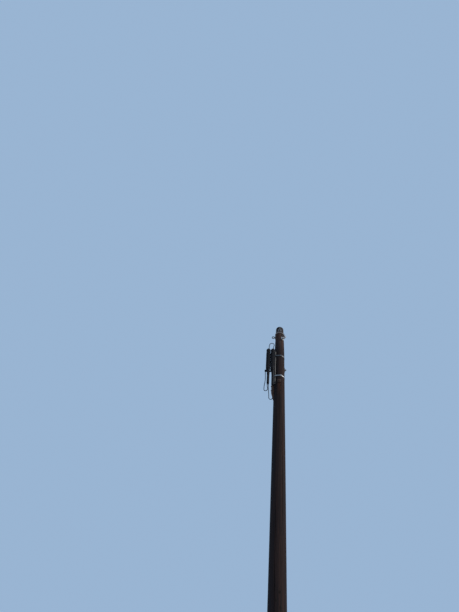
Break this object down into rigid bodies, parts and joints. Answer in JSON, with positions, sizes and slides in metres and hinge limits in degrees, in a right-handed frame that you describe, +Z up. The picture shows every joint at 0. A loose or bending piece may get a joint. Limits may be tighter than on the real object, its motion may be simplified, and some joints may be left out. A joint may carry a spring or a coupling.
{
  "type": "wooden telephone pole",
  "caption": "Tapered wooden telephone pole with eye bolts, strapped rail, black dome closures and slack cable loops near its top.",
  "frame": {"origin": "centre of the shaft's face at the ground line", "axes": "+Z up along the shaft, +X to the right and +Y to the back as the picture sees it, closures on the -X side"},
  "size_m": [0.3413, 0.2485, 7.6],
  "materials": {
    "weathered_wood": "dark preservative-treated timber, weathered, with drying checks",
    "cleat_wood": "reddish brown treated timber",
    "galvanised_steel": "dull galvanised steel with rust spots",
    "rusted_steel": "old galvanised steel rusted dark brown",
    "painted_bracket": "black-painted steel, weathered and rusting at its edges",
    "strand_wire": "galvanised strand, weathered",
    "stainless_strap": "stainless strap, weathered",
    "black_housing": "black moulded plastic, dusty",
    "shrink_sleeve": "black shrunk sleeve, satin",
    "cable_jacket": "black cable jacket"
  },
  "bodies": {
    "root": {"pole_shaft": "weathered_wood", "timber_cleat": "cleat_wood", "front_eye_bolt": "galvanised_steel", "front_eye_washers": "galvanised_steel", "front_eye_nut": "galvanised_steel", "side_eye_bolt": "galvanised_steel", "side_eye_washers": "galvanised_steel", "side_eye_nut": "galvanised_steel", "mid_eye_bolt": "galvanised_steel", "mid_eye_washers": "galvanised_steel", "mid_eye_nut": "galvanised_steel", "corner_bolt": "galvanised_steel", "corner_washers": "galvanised_steel", "corner_eye_nut": "galvanised_steel", "mounting_rail": "galvanised_steel", "arm_bolts": "galvanised_steel", "messenger_inner_plate": "galvanised_steel", "messenger_outer_plate": "galvanised_steel", "messenger_nut": "galvanised_steel", "messenger_jaw_bolts": "galvanised_steel", "cleat_screws": "galvanised_steel", "messenger_bolt": "rusted_steel", "messenger_washer": "rusted_steel", "upper_arm": "painted_bracket", "lower_arm": "painted_bracket", "upper_bands": "painted_bracket", "lower_bands": "painted_bracket", "strand_wrap": "strand_wire", "strand_staples": "strand_wire", "upper_strap": "stainless_strap", "upper_strap_buckle": "stainless_strap", "lower_strap": "stainless_strap", "lower_strap_buckle": "stainless_strap", "closure_a_dome": "black_housing", "closure_a_collar": "black_housing", "closure_a_base": "black_housing", "closure_b_dome": "black_housing", "closure_b_collar": "black_housing", "closure_b_base": "black_housing", "lead_clamp": "black_housing", "closure_a_sleeve": "shrink_sleeve", "closure_b_sleeve": "shrink_sleeve", "closure_a_gland": "shrink_sleeve", "closure_b_gland": "shrink_sleeve", "jumper_loop": "cable_jacket", "ring_loop": "cable_jacket", "drop_lead": "cable_jacket"}
  },
  "joints": []
}
